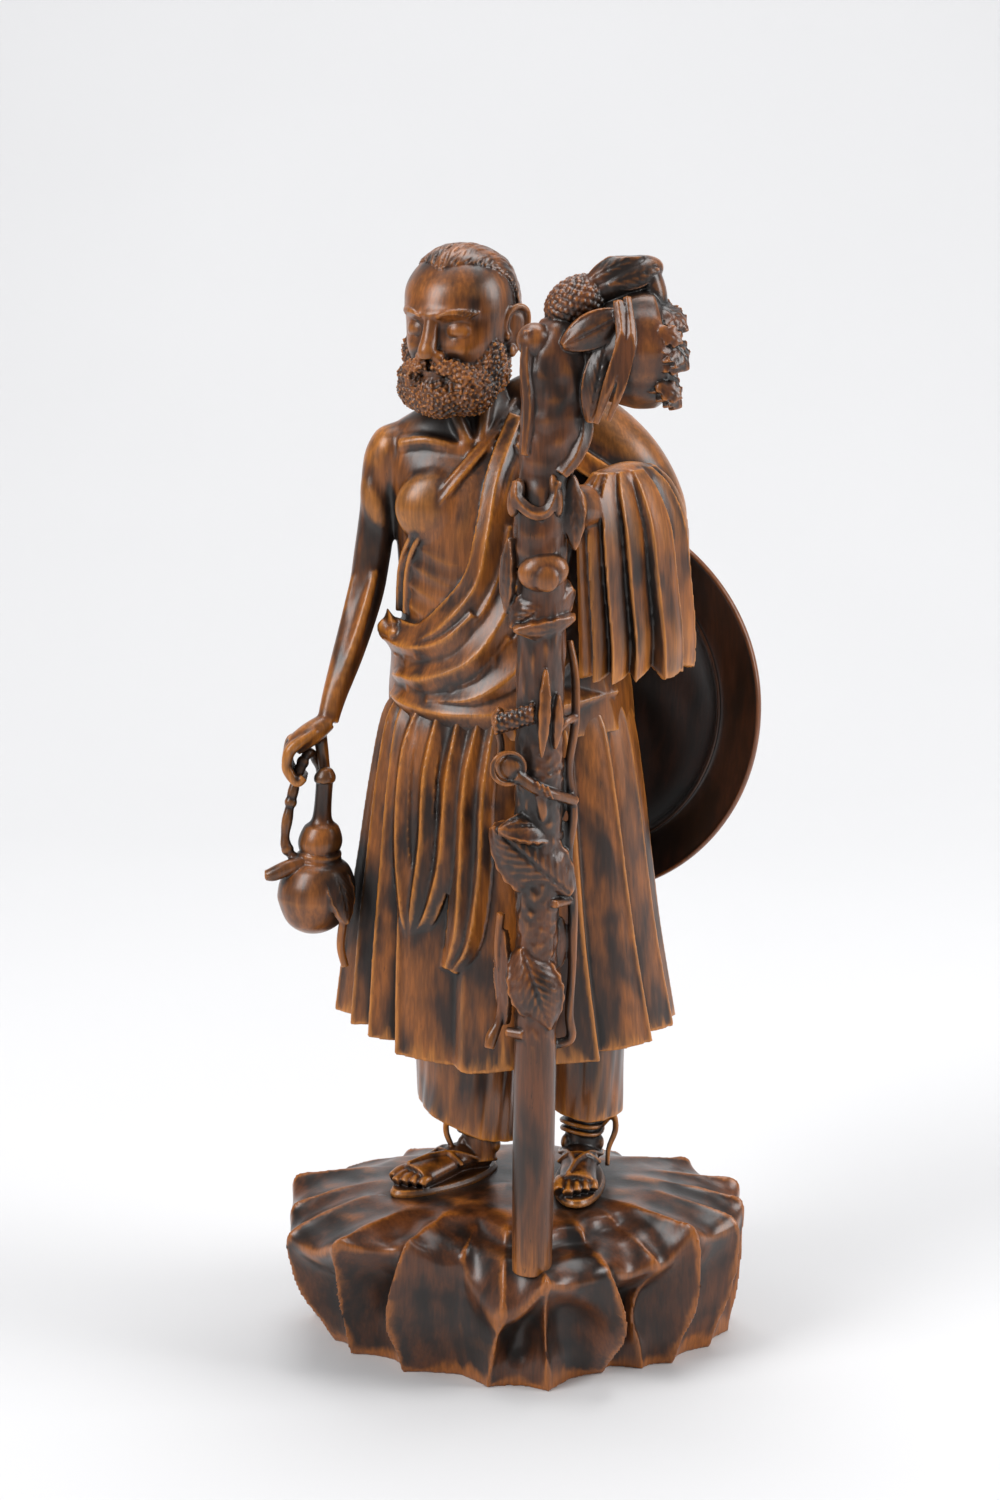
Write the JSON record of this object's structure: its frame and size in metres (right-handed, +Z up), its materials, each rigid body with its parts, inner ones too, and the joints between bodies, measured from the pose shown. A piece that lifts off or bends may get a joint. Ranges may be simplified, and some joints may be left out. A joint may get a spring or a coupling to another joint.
{
  "type": "hardwood okimono figurine",
  "caption": "Carved hardwood figurine of a bearded wandering sage on a rock, with a leafy staff, a hanging gourd and a round hat on the back; stands on its flat underside as a shelf ornament.",
  "frame": {"origin": "middle of the rock's flat underside, on the surface that the figurine stands on", "axes": "+Z up, -Y towards the viewer of the front, +X to that viewer's right"},
  "size_m": [0.1771, 0.1518, 0.3985],
  "materials": {
    "oiled hardwood": "oiled and polished, worn light on the raised places",
    "stained hardwood": "dark stain, waxed"
  },
  "bodies": {
    "root": {"rock_base": "stained hardwood", "figure": "oiled hardwood", "staff": "stained hardwood", "gourd": "oiled hardwood", "hat": "stained hardwood"}
  },
  "joints": []
}
